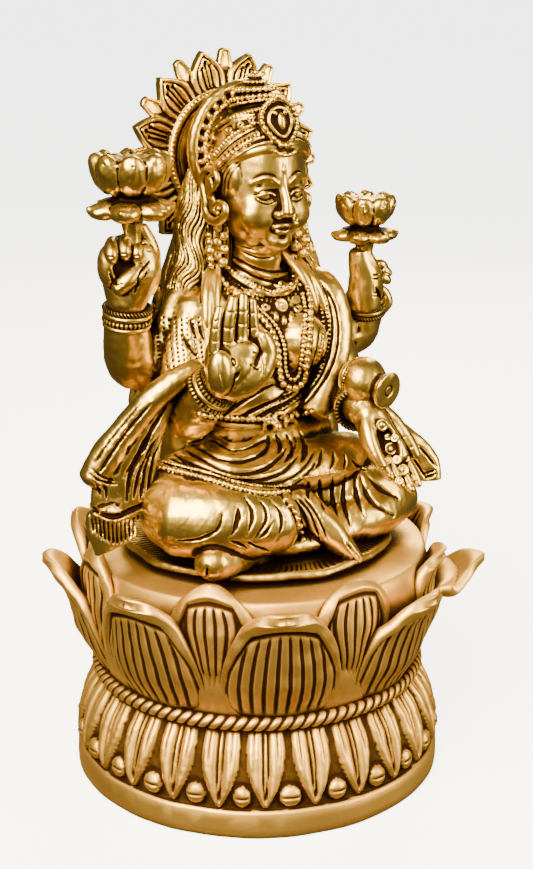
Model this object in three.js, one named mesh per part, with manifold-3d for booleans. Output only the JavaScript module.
// A cast brass figure of a four-armed seated goddess on a lotus pedestal.
// Millimetres, +Z up. The origin is the middle of the pedestal's underside, and the figure looks along -Y,
// so +X is on its own left side.
import * as THREE from "three";
import { mergeVertices } from "three/addons/utils/BufferGeometryUtils.js";
import Module from "manifold-3d";

const wasm = await Module();
wasm.setup();

// Pedestal
const BASE_RADIUS = 80;
const BAND_HEIGHT = 12;
const LEAF_RING_HEIGHT = 32;
const NECK_RADIUS = 68.5;
const ROPE_THICKNESS = 5.2;
const BOWL_HEIGHT = 51;
const SEAT_RADIUS = 74;
const LEAF_COUNT = 25;
const LEAF_RELIEF = 2.4;
const STUD_DIAMETER = 9;
const STUD_RELIEF = 2.5;
const PETAL_THICKNESS = 5;
const OUTER_PETAL_WIDTH = 48;
const INNER_PETAL_WIDTH = 36;
// The petals are bent by hand and no two are alike. Each tip's azimuth from the front towards the figure's
// left in degrees, its reach beyond the seat, and its height above the seat.
const OUTER_TIPS = [
  [21, 17, -7],
  [62, 26, -13],
  [112, 18, -4],
  [158, 17, -2],
  [203, 18, -3],
  [249, 18.5, -4],
  [292.5, 16, -1],
  [336, 17, -1],
];
const INNER_TIPS = [
  [0, -3, 5],
  [44, 8, 0],
  [82, 12, -2],
  [135, 4, 4],
  [181, 4, 5],
  [225, 10, 5],
  [263, 0, 8],
  [315, -2, 7],
];

// Figure, from the underside of its plate to the crown's knob
const FIGURE_HEIGHT = 200;
const PLATE_RADIUS = 58;
const PLATE_THICKNESS = 3.4;
const PLATE_FOOT_RADIUS = 48;
const PLATE_EDGE_LIFT = 2;
const REST_GAP = 0.3;

// Halo, about its own middle
const HALO_RADIUS = 47.5;
const HALO_PLATE_RADIUS = 35;
const HALO_THICKNESS = 4;
const HALO_CENTRE_HEIGHT = 158;
const HALO_PETALS = 12;
const SWAGS = 4;

// Edges shorter than this are drawn together after the joins.
const SHORTEST_EDGE = 2;

const BRASS = { color: 0xb8862f, roughness: 0.34, metalness: 1 };
const POLISHED_BRASS = { color: 0xc9983c, roughness: 0.26, metalness: 1 };

// The carving of the figure is drawn on a figure 200 high and scaled to FIGURE_HEIGHT.
const FIGURE_SCALE = FIGURE_HEIGHT / 200;

const neckZ = BAND_HEIGHT + LEAF_RING_HEIGHT;
const leafGround = BASE_RADIUS - 2;
const seatZ = neckZ + ROPE_THICKNESS + BOWL_HEIGHT;

const { PI, sin, cos, min, max, hypot } = Math;
const radians = THREE.MathUtils.degToRad;
const vector = (p) => new THREE.Vector3(p[0], p[1], p[2]);

// Catmull-Rom through a table's rows, every column alike; t runs from 0 to 1.
function along(rows, t) {
  const last = rows.length - 1;
  const place = min(max(t, 0), 1) * last;
  const i = min(Math.floor(place), last - 1);
  const f = place - i;
  const [a, b, c, d] = [i - 1, i, i + 1, i + 2].map((k) => rows[min(max(k, 0), last)]);
  return b.map((v, m) => {
    const slope = c[m] - a[m];
    const bend = 2 * a[m] - 5 * v + 4 * c[m] - d[m];
    const twist = 3 * v - a[m] - 3 * c[m] + d[m];
    return v + 0.5 * f * (slope + f * (bend + f * twist));
  });
}

// A closed mesh as a solid that can be joined and cut, its faces turned outwards.
function solidOf(geometry) {
  const plain = geometry.clone();
  for (const name of ["normal", "uv"]) plain.deleteAttribute(name);
  const merged = mergeVertices(plain, 1e-4);
  const triVerts = new Uint32Array(merged.index.array);
  const vertProperties = merged.getAttribute("position").array;
  const build = () => new wasm.Manifold(new wasm.Mesh({ numProp: 3, vertProperties, triVerts }));
  const first = build();
  if (first.volume() > 0) return first;
  for (let i = 0; i < triVerts.length; i += 3) {
    [triVerts[i + 1], triVerts[i + 2]] = [triVerts[i + 2], triVerts[i + 1]];
  }
  return build();
}

// Joins leave slivers along the lines where curved faces cross. Every edge shorter than `shortest` is drawn
// together to its middle, where the body stays closed by that and no face near it turns over.
function geometryOf(solid, shortest) {
  const { numProp, numVert, vertProperties, triVerts } = solid.getMesh();
  const points = Array.from({ length: numVert }, (_, i) => new THREE.Vector3().fromArray(vertProperties, i * numProp));
  const faces = Array.from({ length: triVerts.length / 3 }, (_, i) => [...triVerts.subarray(3 * i, 3 * i + 3)]);
  const facesAt = points.map(() => new Set());
  faces.forEach((face, i) => face.forEach((corner) => facesAt[corner].add(i)));
  const neighbours = (corner) => new Set([...facesAt[corner]].flatMap((i) => faces[i]).filter((c) => c !== corner));
  const normal = ([a, b, c]) => b.clone().sub(a).cross(c.clone().sub(a));
  const draw = (keep, drop) => {
    const shared = [...neighbours(keep)].filter((corner) => neighbours(drop).has(corner));
    if (shared.length !== 2) return false;
    const middle = points[keep].clone().lerp(points[drop], 0.5);
    const around = [...facesAt[keep], ...facesAt[drop]].filter((i) => !(faces[i].includes(keep) && faces[i].includes(drop)));
    const turnsOver = around.some((i) => {
      const before = normal(faces[i].map((c) => points[c]));
      const after = normal(faces[i].map((c) => (c === keep || c === drop ? middle : points[c])));
      return after.dot(before) < 0.5 * after.length() * before.length() || after.length() < 1e-3;
    });
    if (turnsOver) return false;
    points[keep] = middle;
    for (const i of facesAt[drop]) {
      if (faces[i].includes(keep)) {
        faces[i].forEach((corner) => facesAt[corner].delete(i));
        faces[i] = null;
      } else {
        faces[i] = faces[i].map((corner) => (corner === drop ? keep : corner));
        facesAt[keep].add(i);
      }
    }
    facesAt[drop].clear();
    return true;
  };
  for (const limit of [0.3, 0.6, 0.8, 1].map((share) => share * shortest)) {
    for (let i = 0; i < faces.length; i++) {
      for (let k = 0; k < 3 && faces[i]; k++) {
        const [a, b] = [faces[i][k], faces[i][(k + 1) % 3]];
        if (points[a].distanceTo(points[b]) < limit) draw(a, b);
      }
    }
  }
  const geometry = new THREE.BufferGeometry();
  geometry.setAttribute("position", new THREE.Float32BufferAttribute(points.flatMap((p) => p.toArray()), 3));
  geometry.setIndex(faces.filter(Boolean).flat());
  geometry.computeVertexNormals();
  return geometry;
}

// Joins overlapping closed geometries into one solid, two by two so that each join stays small.
function join(geometries) {
  let solids = geometries.map(solidOf);
  while (solids.length > 1) {
    const joined = [];
    for (let i = 0; i < solids.length; i += 2) {
      joined.push(i + 1 < solids.length ? solids[i].add(solids[i + 1]) : solids[i]);
    }
    solids = joined;
  }
  return solids[0];
}

// A closed skin over rings of equally many points, each end capped from the point given or the ring's middle.
function skin(rings, ends = []) {
  const count = rings[0].length;
  const points = rings.flat();
  const index = [];
  for (let i = 0; i + 1 < rings.length; i++) {
    for (let j = 0; j < count; j++) {
      const a = i * count + j;
      const b = i * count + ((j + 1) % count);
      index.push(a, b, b + count, a, b + count, a + count);
    }
  }
  [0, rings.length - 1].forEach((row, side) => {
    const middle = new THREE.Vector3();
    rings[row].forEach((p) => middle.addScaledVector(p, 1 / count));
    points.push(ends[side] ?? middle);
    for (let j = 0; j < count; j++) {
      const a = row * count + j;
      const b = row * count + ((j + 1) % count);
      index.push(points.length - 1, side ? a : b, side ? b : a);
    }
  });
  const geometry = new THREE.BufferGeometry();
  geometry.setAttribute("position", new THREE.Float32BufferAttribute(points.flatMap((p) => [p.x, p.y, p.z]), 3));
  geometry.setIndex(index);
  return geometry;
}

// A limb, fold or finger: rows of [x, y, z, half width, half depth], its width lying along `wide`.
function loft(rows, { sides = 9, steps = rows.length * 2 - 1, wide = [1, 0, 0], dome = 0.75 } = {}) {
  const rings = [];
  const ends = [];
  for (let i = 0; i < steps; i++) {
    const t = i / (steps - 1);
    const [x, y, z, a, b] = along(rows, t);
    const centre = new THREE.Vector3(x, y, z);
    const tangent = vector(along(rows, t + 0.02)).sub(vector(along(rows, t - 0.02))).normalize();
    const across = vector(wide).addScaledVector(tangent, -vector(wide).dot(tangent)).normalize();
    const deep = new THREE.Vector3().crossVectors(tangent, across);
    const ring = (scale, shift) =>
      Array.from({ length: sides }, (_, j) => {
        const turn = (2 * PI * j) / sides;
        return centre
          .clone()
          .addScaledVector(tangent, shift)
          .addScaledVector(across, scale * a * cos(turn))
          .addScaledVector(deep, scale * b * sin(turn));
      });
    const bulge = dome * min(a, b);
    const isEnd = i === 0 || i === steps - 1;
    const outwards = i === 0 ? -1 : 1;
    const cap = isEnd && dome > 0.3 ? [ring(0.72, outwards * bulge * 0.68)] : [];
    if (isEnd) ends.push(centre.clone().addScaledVector(tangent, outwards * bulge));
    rings.push(...(i === 0 ? [...cap, ring(1, 0)] : [ring(1, 0), ...cap]));
  }
  return skin(rings, ends);
}

const cord = (points, radius, options = {}) =>
  loft(points.map((p) => [...p, radius, radius]), { sides: 5, dome: 0.2, ...options });

function ball(centre, radii, across = 9, down = 6) {
  const geometry = new THREE.SphereGeometry(1, across, down);
  return geometry.rotateX(PI / 2).scale(...radii).translate(...centre);
}

// A body of turned form with lobes round it: rows of [radius, height, depth of lobe], about the Z axis.
function lobed(rows, lobes, sides, centre = [0, 0, 0]) {
  const rings = rows.map(([radius, z, depth]) =>
    Array.from({ length: sides }, (_, j) => {
      const turn = (2 * PI * j) / sides;
      const r = radius * (1 + depth * cos(lobes * turn));
      return new THREE.Vector3(r * cos(turn), r * sin(turn), z).add(vector(centre));
    }),
  );
  return skin(rings);
}

const mirrored = (rows) => rows.map(([x, ...rest]) => [-x, ...rest]);

// Pedestal

// A cupped leaf or petal standing on the pedestal's outline. Rows of [radius, height, half width, bulge],
// from its root to its tip; `azimuth` is measured from the front towards the figure's left.
function petal(rows, thickness, azimuth, widthSteps, steps) {
  const middle = radians(azimuth);
  const place = (r, z, turn) => new THREE.Vector3(r * sin(middle + turn), -r * cos(middle + turn), z);
  const rings = [];
  for (let i = 0; i <= steps; i++) {
    const t = i / steps;
    const [radius, height, halfWidth, bulge] = along(rows, t);
    const ahead = along(rows, t + 0.02);
    const behind = along(rows, t - 0.02);
    const slope = new THREE.Vector2(ahead[0] - behind[0], ahead[1] - behind[1]).normalize();
    const point = (u, depth) => {
      const rim = depth * (0.4 + 0.6 * (1 - u * u));
      const r = radius + bulge * (1 - u * u) - slope.y * rim;
      return place(r, height + slope.x * rim, (u * halfWidth) / max(radius, halfWidth));
    };
    const across = Array.from({ length: widthSteps + 1 }, (_, j) => (2 * j) / widthSteps - 1);
    rings.push([...across.map((u) => point(u, 0)), ...across.reverse().map((u) => point(u, thickness))]);
  }
  return skin(rings);
}

// The band and the ring of leaves that hang from the rope: each leaf has a raised middle, two edges a little
// lower, and the ground between it and the next. Rows of [radius, height, half width, relief].
function leafRing() {
  const ground = leafGround;
  const rows = [
    [BASE_RADIUS, 0, 0.3, 0],
    [BASE_RADIUS, BAND_HEIGHT, 0.3, 0],
    [ground, BAND_HEIGHT + 0.6, 0.04, 0.4],
    [ground, BAND_HEIGHT + LEAF_RING_HEIGHT * 0.28, 0.25, LEAF_RELIEF],
    [(ground + NECK_RADIUS) / 2 + 1.5, BAND_HEIGHT + LEAF_RING_HEIGHT * 0.62, 0.4, LEAF_RELIEF],
    [NECK_RADIUS, neckZ, 0.36, LEAF_RELIEF * 0.8],
  ];
  const rings = rows.map(([radius, z, half, relief]) =>
    Array.from({ length: 4 * LEAF_COUNT }, (_, j) => {
      const [offset, height] = [
        [0, 1],
        [half, 0.7],
        [0.5, 0],
        [1 - half, 0.7],
      ][j % 4];
      const turn = (2 * PI * (Math.floor(j / 4) + offset)) / LEAF_COUNT;
      const r = radius + relief * height;
      return new THREE.Vector3(r * sin(turn), -r * cos(turn), z);
    }),
  );
  return skin(rings);
}

// A round stud between each two leaf tips.
function studs() {
  const r = STUD_DIAMETER / 2;
  const rooted = STUD_RELIEF + 3;
  return Array.from({ length: LEAF_COUNT }, (_, i) => {
    const turn = (2 * PI * (i + 0.5)) / LEAF_COUNT;
    const dome = new THREE.CylinderGeometry(r * 0.6, r, rooted, 6).rotateZ(-PI / 2);
    dome.translate(leafGround + STUD_RELIEF - rooted / 2, 0, BAND_HEIGHT + r + 1.5);
    return dome.rotateZ(turn - PI / 2);
  });
}

// The rope in the neck, the bowl above it, and the flat seat.
function bowl() {
  const rope = ROPE_THICKNESS / 2;
  const foot = neckZ + ROPE_THICKNESS;
  const outline = [
    [0, neckZ - 3],
    [NECK_RADIUS - 3, neckZ - 3],
    [NECK_RADIUS + rope * 0.6, neckZ + 0.4],
    [NECK_RADIUS + rope * 1.3, neckZ + rope],
    [NECK_RADIUS + rope * 0.6, foot - 0.4],
    [NECK_RADIUS, foot + 0.6],
    [NECK_RADIUS + (SEAT_RADIUS - NECK_RADIUS) * 0.9, foot + BOWL_HEIGHT * 0.3],
    [SEAT_RADIUS + 1, foot + BOWL_HEIGHT * 0.7],
    [SEAT_RADIUS - 2, seatZ],
    [PLATE_RADIUS + 3, seatZ],
    [0, seatZ],
  ];
  return new THREE.LatheGeometry(outline.map(([r, z]) => new THREE.Vector2(r, z)), 40).rotateX(PI / 2);
}

// Two rows of lotus petals, the inner ones showing between the outer ones.
function lotusPetals() {
  const root = neckZ + ROPE_THICKNESS;
  const outer = OUTER_TIPS.map(([azimuth, reach, rise]) => {
    const half = OUTER_PETAL_WIDTH / 2;
    const rows = [
      [NECK_RADIUS - 1, root, half * 0.72, 2.5],
      [SEAT_RADIUS, root + BOWL_HEIGHT * 0.3, half, 5],
      [SEAT_RADIUS + 4, root + BOWL_HEIGHT * 0.6, half * 0.97, 5],
      [SEAT_RADIUS + reach * 0.55, seatZ + rise - 6, half * 0.74, 3.5],
      [SEAT_RADIUS + reach, seatZ + rise, half * 0.24, 1],
    ];
    return petal(rows, PETAL_THICKNESS, azimuth, 4, 5);
  });
  const inner = INNER_TIPS.map(([azimuth, reach, rise]) => {
    const half = INNER_PETAL_WIDTH / 2;
    const rows = [
      [SEAT_RADIUS - 3, root + BOWL_HEIGHT * 0.5, half * 0.6, 1],
      [SEAT_RADIUS, root + BOWL_HEIGHT * 0.75, half, 3],
      [SEAT_RADIUS + reach * 0.4, seatZ - 1, half * 0.9, 4],
      [SEAT_RADIUS + reach, seatZ + rise, half * 0.24, 1],
    ];
    return petal(rows, PETAL_THICKNESS, azimuth, 2, 4);
  });
  return [...outer, ...inner];
}

// Figure: trunk, limbs and hands

function plate() {
  const edge = PLATE_RADIUS;
  const outline = [
    [0, 0],
    [PLATE_FOOT_RADIUS, 0],
    [edge - 1, PLATE_EDGE_LIFT],
    [edge, PLATE_EDGE_LIFT + PLATE_THICKNESS * 0.6],
    [edge - 1.2, PLATE_EDGE_LIFT + PLATE_THICKNESS],
    [0, PLATE_EDGE_LIFT + PLATE_THICKNESS],
  ];
  return new THREE.LatheGeometry(outline.map(([r, z]) => new THREE.Vector2(r, z)), 32).rotateX(PI / 2);
}

function trunk() {
  const torso = [
    [0, 10, 6, 40, 27],
    [0, 9, 22, 38, 25],
    [0, 5, 38, 29, 20],
    [0, 3, 51, 23.5, 16.5],
    [0, 1, 63, 24.5, 17.5],
    [0, 0, 78, 28, 18],
    [0, 1, 92, 30, 17],
    [0, 3, 103, 30, 14],
    [0, 5, 111, 23, 11],
    [0, 4, 118, 12, 9.5],
  ];
  const neck = [
    [0, 3, 112, 11, 10],
    [0, 0, 124, 9.5, 9.5],
    [0, -3, 136, 10.5, 11],
  ];
  const pieces = [loft(torso, { sides: 12, steps: 9, dome: 0 }), loft(neck, { sides: 8, steps: 3, dome: 0 })];
  for (const side of [-1, 1]) pieces.push(ball([side * 13.5, -13, 88], [11, 11, 11.5], 8, 5));
  return pieces;
}

// A hand in a frame of its own: `out` points from the wrist to the fingers, `thumb` to the thumb's side,
// and the palm faces out x thumb or the other way, as `face` says. Bends are the fingers' three, in degrees.
function hand({ wrist, out, thumb, face, bends, thumbBend = 25, size = 1, spread = 1 }) {
  const e1 = vector(out).normalize();
  const e2 = vector(thumb).addScaledVector(e1, -vector(thumb).dot(e1)).normalize();
  const e3 = new THREE.Vector3().crossVectors(e1, e2).multiplyScalar(face);
  const place = (l, c, n) =>
    vector(wrist).addScaledVector(e1, l * size).addScaledVector(e2, c * size).addScaledVector(e3, n * size);
  const row = (l, c, n, a, b) => [...place(l, c, n).toArray(), a * size, b * size];
  const wide = e2.toArray();
  const pieces = [
    loft([row(-3, 0, 0, 7.2, 5.6), row(5, 0.4, 0, 9.4, 5.4), row(13, 0.2, 0, 11, 4.8), row(20, -0.4, 0, 10.6, 4.2)], {
      sides: 7,
      steps: 3,
      wide,
    }),
  ];
  const finger = (start, direction, lengths, angles, radius, side) => {
    const rows = [start.slice()];
    let at = start.slice();
    let lift = 0;
    lengths.forEach((length, k) => {
      lift += radians(angles[k]);
      const step = length * cos(lift);
      at = [at[0] + step * cos(direction), at[1] + step * sin(direction), at[2] + length * sin(lift)];
      rows.push(at.slice());
    });
    const taper = [1, 1, 0.92, 0.72];
    return loft(rows.map((p, k) => row(...p, radius * taper[k], radius * taper[k] * 0.95)), {
      sides: 5,
      steps: 3,
      dome: 0.3,
      wide: side,
    });
  };
  [
    [7.6, 15.5, 2.9],
    [2.5, 17.5, 3],
    [-2.7, 16.5, 2.9],
    [-7.6, 13, 2.6],
  ].forEach(([c, length, radius]) => {
    const parts = [0.42, 0.33, 0.25].map((share) => share * length);
    pieces.push(finger([19, c, 0], radians(c * 0.9 * spread), parts, bends, radius, wide));
  });
  pieces.push(finger([5, 7, 1], radians(48 * spread), [7, 6.5, 5], [thumbBend, 5, 5], 3.3, e3.toArray()));
  return pieces;
}

// A cluster of bangles round a wrist.
function bangles(at, direction, radius) {
  const turn = new THREE.Quaternion().setFromUnitVectors(new THREE.Vector3(0, 1, 0), vector(direction).normalize());
  const band = new THREE.CylinderGeometry(radius, radius, 9, 10);
  return band.applyQuaternion(turn).translate(...at);
}

function arms() {
  const frontRight = [
    [-28, 3, 101, 11, 11],
    [-33, -1, 85, 10.5, 10.5],
    [-34, -8, 64, 10.5, 10.5],
    [-37, -22, 61, 10, 10],
    [-41.5, -38, 76, 7.8, 7.8],
  ];
  const frontLeft = [
    [28, 3, 101, 11, 11],
    [37, 2, 86, 11, 11],
    [42, 0, 68, 10.5, 10.5],
    [35, -18, 63, 9.5, 9.5],
    [25.5, -33, 62, 7.6, 7.6],
  ];
  const rearRight = [
    [-30, 8, 102, 10.5, 10.5],
    [-41, 11, 88, 11, 11],
    [-50.5, 11.5, 82, 12.5, 12],
    [-55.5, 8.5, 94, 9.5, 9.5],
    [-57.5, 5, 108, 7.6, 7.6],
  ];
  const rearLeft = [
    [30, 8, 102, 10.5, 10.5],
    [43, 11, 88, 10.5, 10.5],
    [57, 11.5, 76, 11, 11],
    [60, 9, 86, 9, 9],
    [60, 6, 95, 7.4, 7.4],
  ];
  return [
    ...[frontRight, frontLeft, rearRight, rearLeft].map((rows) => loft(rows, { sides: 8, steps: 7 })),
    bangles([-41.6, -35, 73], [-0.15, -0.75, 0.65], 9.8),
    bangles([26.5, -31, 62], [-0.55, -0.83, -0.05], 9.2),
    bangles([-58, 6, 103], [0, -0.15, 1], 9.8),
    bangles([60, 7, 92], [0, -0.2, 1], 9.4),
  ];
}

const RAISED_PALM = {
  wrist: [-42, -41, 82],
  out: [0.1, -0.12, 1],
  thumb: [1, -0.2, 0],
  face: 1,
  bends: [4, 6, 6],
  thumbBend: 12,
  size: 1.08,
};
const GIVING_PALM = {
  wrist: [26, -36, 60],
  out: [0.62, -0.2, -0.76],
  thumb: [0.8, 0.2, 0.5],
  face: 1,
  bends: [8, 12, 10],
  thumbBend: 16,
};
const RIGHT_GRIP = {
  wrist: [-58, 4, 112],
  out: [0, -0.1, 1],
  thumb: [1, 0.1, 0],
  face: 1,
  bends: [70, 85, 60],
  thumbBend: 55,
  size: 1.08,
};
const LEFT_GRIP = {
  wrist: [60, 5, 98],
  out: [-0.12, -0.1, 1],
  thumb: [-1, 0.1, 0],
  face: -1,
  bends: [60, 80, 60],
  thumbBend: 55,
  size: 0.95,
};

// A lotus held in a raised hand: its stem, a lower whorl of petals turned down, and a cup of petals.
function heldLotus([x, y, z], radius, height) {
  const whorl = [
    [radius * 0.3, height * 0.08, 0],
    [radius * 0.8, height * 0.28, 0.12],
    [radius * 0.42, height * 0.44, 0],
  ];
  const cup = [
    [radius * 0.42, height * 0.4, 0],
    [radius * 0.88, height * 0.64, 0.06],
    [radius * 0.97, height * 0.93, 0.07],
    [radius * 0.6, height, 0.03],
  ];
  const stem = [
    [x, y, z - height * 0.7, radius * 0.3, radius * 0.3],
    [x, y, z + height * 0.1, radius * 0.26, radius * 0.26],
  ];
  return [lobed(whorl, 8, 16, [x, y, z]), lobed(cup, 8, 16, [x, y, z]), loft(stem, { sides: 6, steps: 2, dome: 0 })];
}

// The jar lies above the giving palm, its mouth turned towards the palm and the front.
function jar() {
  const middle = new THREE.Vector3(31.5, -32, 75.5);
  const mouth = new THREE.Vector3(38.5, -45, 70.5);
  const outline = [
    [0, -12],
    [9, -8],
    [12, 0],
    [6, 10.5],
    [9, 14.5],
    [9, 16.5],
    [0, 16.5],
  ];
  const turned = new THREE.LatheGeometry(outline.map(([r, z]) => new THREE.Vector2(r, z)), 12);
  const turn = new THREE.Quaternion().setFromUnitVectors(new THREE.Vector3(0, 1, 0), mouth.sub(middle).normalize());
  return turned.applyQuaternion(turn).translate(...middle.toArray());
}

// Figure: legs, cloth and hair

function legs() {
  const rightThigh = [
    [-18, 4, 23, 17, 17],
    [-38, -10, 29, 17, 17],
    [-52, -22, 28, 15.5, 16],
  ];
  const rightShin = [
    [-51, -25, 27, 15.5, 16],
    [-40, -34, 26, 15, 16],
    [-28, -41, 25, 14, 14],
    [-16, -44, 25, 11, 11],
  ];
  const rightFoot = [
    [-14, -42, 24, 8, 12],
    [2, -45, 21, 8, 12],
    [18, -51, 14, 6.5, 8],
    [32, -56, 7.5, 4.5, 3.5],
  ];
  const leftThigh = [
    [18, 4, 22, 17, 17],
    [36, -10, 23, 16.5, 16.5],
    [51, -22, 19, 15, 14.5],
  ];
  const leftShin = [
    [51, -24, 17, 14.5, 13],
    [34, -34, 14, 12, 10],
    [12, -38, 12, 10, 9],
    [-12, -40, 11, 9, 8],
  ];
  const leftFoot = [
    [-28, -44, 11, 7, 6],
    [-40, -44, 12, 8, 7],
    [-51, -41, 10, 6, 5],
  ];
  const wide = [0, 1, 0];
  return [
    ...[rightThigh, leftThigh].map((rows) => loft(rows, { sides: 8, steps: 4, wide })),
    ...[rightShin, leftShin].map((rows) => loft(rows, { sides: 9, steps: 5, wide })),
    ...[rightFoot, leftFoot].map((rows) => loft(rows, { sides: 7, steps: 4, wide })),
  ];
}

// Cloth over the lap, the sash from the shoulder, and the shawl that falls from both forearms.
function drapery() {
  const lap = [
    [-52, -10, 37, 15, 9],
    [-28, -14, 39, 22, 11],
    [-2, -17, 36, 23, 12],
    [22, -15, 34, 20, 11],
    [42, -8, 33, 13, 9],
  ];
  const shawlRight = [
    [-41, -18, 76, 8, 5],
    [-51, -16, 66, 12, 5],
    [-63, -14, 51, 15, 5],
    [-73, -12, 36, 14, 5],
    [-75, -13, 25, 12, 4],
    [-73, -15, 18, 9, 3],
  ];
  const shawlRoll = [
    [-40, -26, 85, 5, 4.5],
    [-54, -22, 74, 6.5, 6],
    [-68, -14, 57, 7, 6.5],
    [-78, -9, 43, 7, 6],
    [-82, -8, 34, 5.5, 4.5],
  ];
  const shawlLeft = [
    [44, -6, 62, 7, 4],
    [60, -14, 50, 8, 4.5],
    [68, -24, 40, 8, 4.5],
    [70, -30, 28, 8, 3.5],
  ];
  const shoulderCloth = [
    [26, 4, 108, 9, 5],
    [33, -6, 98, 9, 6],
    [31, -13, 82, 8, 6],
    [24, -14, 66, 8, 5],
    [16, -13, 54, 8, 4],
  ];
  const pieces = [
    loft(lap, { sides: 9, steps: 6, wide: [0, 1, 0] }),
    loft(shawlRight, { sides: 7, steps: 6, dome: 0.2, wide: [0.85, -0.2, 0.5] }),
    loft(shawlRoll, { sides: 6, steps: 5, wide: [0.6, -0.2, 0.75] }),
    loft(shawlLeft, { sides: 6, steps: 5, dome: 0.2, wide: [0.85, -0.3, 0.3] }),
    loft(shoulderCloth, { sides: 6, steps: 5, dome: 0.2, wide: [1, -0.3, 0] }),
  ];
  // Swags of the lap, one inside the other.
  for (let i = 0; i < SWAGS; i++) {
    const half = 20 + 8 * i;
    const drop = 8 * i;
    const swag = [
      [-half - 4, -16, 50 - drop * 0.45],
      [-half * 0.5, -30 - i * 2.4, 48 - drop * 0.75],
      [4, -34 - i * 2.3, 43 - drop * 0.75],
      [half * 0.62 + 2, -28, 47 - drop * 0.4],
    ];
    pieces.push(cord(swag, 2.4, { sides: 4, steps: 6 }));
  }
  return pieces;
}

function hair() {
  const fall = [
    [0, 13, 166, 18, 9],
    [0, 15, 146, 26, 9],
    [0, 14, 126, 32, 10],
    [0, 15, 106, 40, 10],
    [0, 18, 86, 46, 9],
    [0, 20, 60, 50, 10],
    [0, 22, 34, 50, 10],
    [0, 24, 12, 38, 8],
  ];
  const cap = ball([0, 2, 156], [20, 20, 21], 10, 6);
  const locks = [];
  for (const side of [-1, 1]) {
    locks.push(
      loft(
        [
          [side * 17, 4, 152, 5, 6],
          [side * 23, 6, 134, 7, 7],
          [side * 29, 4, 116, 8, 7],
          [side * 35, 2, 100, 6, 6],
        ],
        { sides: 5, steps: 4, dome: 0.2 },
      ),
    );
  }
  return [loft(fall, { sides: 10, steps: 7, dome: 0.3 }), cap, ...locks];
}

// Figure: head, crown, halo and jewels

function head() {
  const face = [
    [0, -8, 129, 7, 6],
    [0, -6.5, 135, 13, 13],
    [0, -5, 144, 16.5, 17],
    [0, -4, 155, 17.5, 18.5],
    [0, -3, 165, 17, 18],
    [0, -2, 172, 13, 14],
  ];
  const nose = [
    [0, -21.5, 158, 1.8, 2.5],
    [0, -23.2, 152.5, 2.4, 3],
    [0, -24, 149, 3.6, 2.6],
  ];
  const pieces = [loft(face, { sides: 12, steps: 6, dome: 0.4 }), loft(nose, { sides: 4, steps: 3, dome: 0.2 })];
  pieces.push(ball([0, -20.3, 141], [5.4, 3, 1.6], 6, 3), ball([0, -19.6, 138.2], [4.4, 3, 1.6], 6, 3));
  for (const side of [-1, 1]) {
    pieces.push(ball([side * 7.4, -18.3, 154.5], [4.6, 3.2, 2.4], 6, 4));
    const ear = [
      [side * 20, 4, 163, 2.6, 4.5],
      [side * 21.5, 1, 155, 3, 5.2],
      [side * 21.5, -3, 145, 3.4, 5.4],
      [side * 20.5, -4, 137, 3.4, 3.4],
      [side * 20, -3, 130, 2.6, 2.6],
    ];
    pieces.push(loft(ear, { sides: 5, steps: 5 }));
  }
  return pieces;
}

function crown() {
  const tiers = [
    [19.6, 160],
    [20.8, 164],
    [19.8, 169],
    [20.4, 172.5],
    [16, 181],
    [16, 183],
    [12, 184.5],
    [12.8, 187],
    [6.5, 189.5],
    [6.5, 191.5],
    [2.6, 193],
    [2.2, 195.5],
  ];
  const rimZ = tiers[0][1];
  const body = lobed(tiers.map(([radius, z]) => [radius, z, 0]), 1, 14, [0, -1, 0]);
  // The crown's rim rises over the brow and falls towards the ears and the nape.
  const place = body.getAttribute("position");
  for (let i = 0; i < place.count; i++) {
    const low = max(0, 1 - (place.getZ(i) - rimZ) / 20);
    place.setZ(i, place.getZ(i) + low * (2.5 - 5 * max(0, (place.getY(i) + 21) / 40)));
  }
  const jewel = new THREE.CylinderGeometry(6.6, 7.6, 5, 8).rotateX(radians(-14)).translate(0, -17.5, 178);
  const fan = new THREE.TorusGeometry(24.5, 3.6, 4, 14).rotateX(PI / 2).scale(1, 1.3, 1.12);
  return [body, jewel, ball([0, -21.5, 166], [3.6, 2.4, 3], 6, 3), fan.translate(0, 10, 165)];
}

// The halo is a dish with a raised rim, twelve pointed petals round it and a small square tab between each
// two. Its section is given at the middle of a petal, its shoulders and foot, and the corners of a tab.
function halo() {
  const rim = HALO_PLATE_RADIUS;
  const pitch = (2 * PI) / HALO_PETALS;
  const outline = [
    [0, HALO_RADIUS],
    [0.24, rim + (HALO_RADIUS - rim) * 0.62],
    [0.37, rim + (HALO_RADIUS - rim) * 0.3],
    [0.43, rim + (HALO_RADIUS - rim) * 0.82],
    [0.57, rim + (HALO_RADIUS - rim) * 0.82],
    [0.63, rim + (HALO_RADIUS - rim) * 0.3],
    [0.76, rim + (HALO_RADIUS - rim) * 0.62],
  ];
  const back = 24 + HALO_THICKNESS / 2;
  const ring = (radiusOf, y) =>
    Array.from({ length: HALO_PETALS * outline.length }, (_, j) => {
      const [share, reach] = outline[j % outline.length];
      const turn = pitch * (Math.floor(j / outline.length) + share + 0.5);
      const r = radiusOf(reach);
      return new THREE.Vector3(r * sin(turn), y, HALO_CENTRE_HEIGHT + r * cos(turn));
    });
  return [
    skin([
      ring((reach) => reach, back),
      ring((reach) => reach, back - HALO_THICKNESS * 0.6),
      ring(() => rim, back - HALO_THICKNESS - 1.6),
      ring(() => rim - 5, back - HALO_THICKNESS - 1),
      ring(() => rim - 7, back - HALO_THICKNESS + 1),
    ]),
  ];
}

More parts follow.
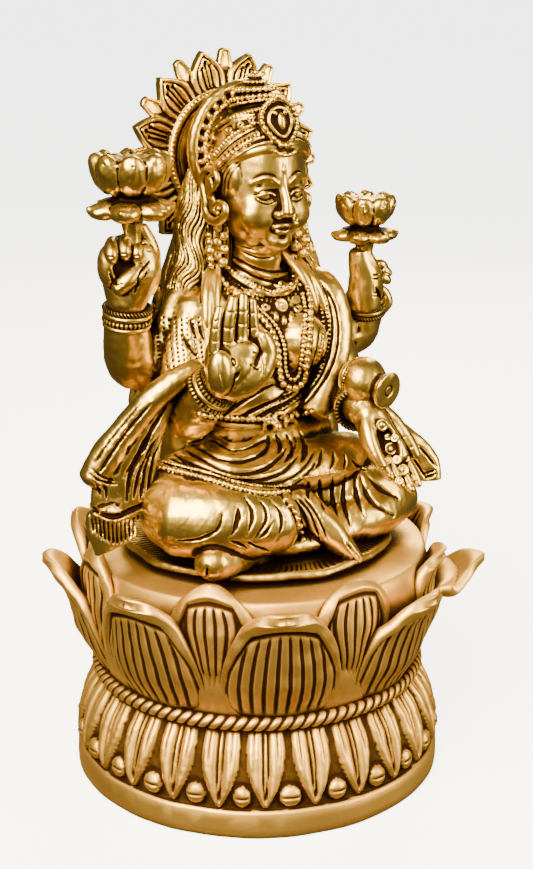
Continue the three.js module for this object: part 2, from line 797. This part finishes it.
function jewels() {
  const half = (points) => [...mirrored(points), ...points.slice(0, -1).reverse()];
  const longStrand = half([
    [15, -2, 114],
    [15, -14, 103],
    [10, -21, 92],
    [5, -20, 80],
    [0, -18.5, 74],
  ]);
  const shortStrand = half([
    [11.5, -2, 116],
    [11, -10, 110],
    [6, -15.5, 104],
    [0, -17, 101],
  ]);
  const belt = half([
    [23, 4, 54],
    [20, -9, 54],
    [11, -15, 53],
    [0, -16, 52],
  ]);
  const choker = new THREE.CylinderGeometry(11.4, 12, 4, 9).rotateX(PI / 2 - 0.15).translate(0, -0.5, 123);
  const buckle = new THREE.CylinderGeometry(6, 6.6, 4, 8).translate(0, -17, 52.5);
  return [
    cord(longStrand, 2.4, { sides: 4, steps: 11 }),
    cord(shortStrand, 2.6, { sides: 4, steps: 7 }),
    cord(belt, 2.8, { sides: 4, steps: 9 }),
    choker,
    buckle,
    ball([0, -18.5, 100], [5.5, 3, 5], 6, 4),
  ];
}

const pedestal = join([leafRing(), bowl(), ...studs(), ...lotusPetals()]);

const carved = join([
  ...trunk(),
  ...arms(),
  ...[RAISED_PALM, GIVING_PALM, RIGHT_GRIP, LEFT_GRIP].flatMap(hand),
  ...heldLotus([-57.5, -1, 142], 18, 27),
  ...heldLotus([55.5, 2, 122], 15, 20),
  jar(),
  ...legs(),
  ...drapery(),
  ...hair(),
  ...head(),
  ...crown(),
  ...halo(),
  ...jewels(),
]).scale([FIGURE_SCALE, FIGURE_SCALE, FIGURE_SCALE]);

// The plate is cut to by nothing and the figure grows from its top, so nothing of it shows below.
const belowPlate = new THREE.CylinderGeometry(3 * PLATE_RADIUS, 3 * PLATE_RADIUS, 60, 24).rotateX(PI / 2);
const figure = carved.subtract(solidOf(belowPlate.translate(0, 0, PLATE_EDGE_LIFT - 30 + 0.4))).add(solidOf(plate()));

const root = new THREE.Group();
function addMesh(name, solid, finish, height) {
  const mesh = new THREE.Mesh(geometryOf(solid, SHORTEST_EDGE), new THREE.MeshStandardMaterial(finish));
  mesh.name = name;
  mesh.position.z = height;
  root.add(mesh);
}
addMesh("lotus_pedestal", pedestal, BRASS, 0);
addMesh("figure", figure, POLISHED_BRASS, seatZ + REST_GAP);

export default root;
